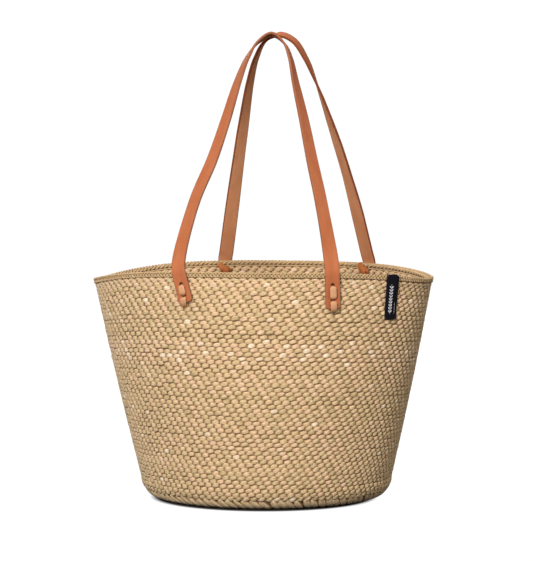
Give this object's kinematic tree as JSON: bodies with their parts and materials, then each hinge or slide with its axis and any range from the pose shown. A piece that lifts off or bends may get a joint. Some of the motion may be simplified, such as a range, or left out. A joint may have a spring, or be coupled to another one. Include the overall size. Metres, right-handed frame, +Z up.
{
  "type": "woven shopper basket",
  "caption": "Oval twined-fibre shopper basket with a plaited rim and leather strap handles laced through the wall and folding down over its sides.",
  "frame": {"origin": "under the basket at the middle of its bounding box, on the surface it stands on", "axes": "+Z up through the handles, +X along the long side of the mouth, -Y out of the face that carries the label"},
  "size_m": [0.4238, 0.31, 0.5711],
  "materials": {
    "weave": "matte twined sisal fibre, straw and peach tones",
    "rim_plait": "matte plaited sisal fibre",
    "front_leather": "satin",
    "back_leather": "satin",
    "lace_leather": "matte",
    "label_cloth": "matte woven tape",
    "dark_thread": "matte",
    "pale_thread": "matte"
  },
  "bodies": {
    "root": {"basket_base": "weave", "basket_wall": "weave", "rim_braid": "rim_plait", "rim_cord": "rim_plait", "front_strap_left_end": "front_leather", "front_strap_right_end": "front_leather", "back_strap_left_end": "back_leather", "back_strap_right_end": "back_leather", "front_left_tie": "lace_leather", "front_right_tie": "lace_leather", "back_left_tie": "lace_leather", "back_right_tie": "lace_leather", "label": "label_cloth", "label_stitch_top_left": "dark_thread", "label_stitch_top_right": "pale_thread", "label_stitch_bottom_left": "dark_thread", "label_stitch_bottom_right": "dark_thread"},
    "front_handle": {"front_strap": "front_leather"},
    "back_handle": {"back_strap": "back_leather"}
  },
  "joints": [
    {"name": "front_handle_fold", "type": "hinge", "parent": "root", "child": "front_handle", "pos_m": [0.014, -0.13463, 0.2723], "axis": [0.9989, 0.0462, 0], "range_deg": [0, 165]},
    {"name": "back_handle_fold", "type": "hinge", "parent": "root", "child": "back_handle", "pos_m": [0.024, 0.13323, 0.273], "axis": [-0.9968, 0.0799, 0], "range_deg": [0, 165]}
  ]
}
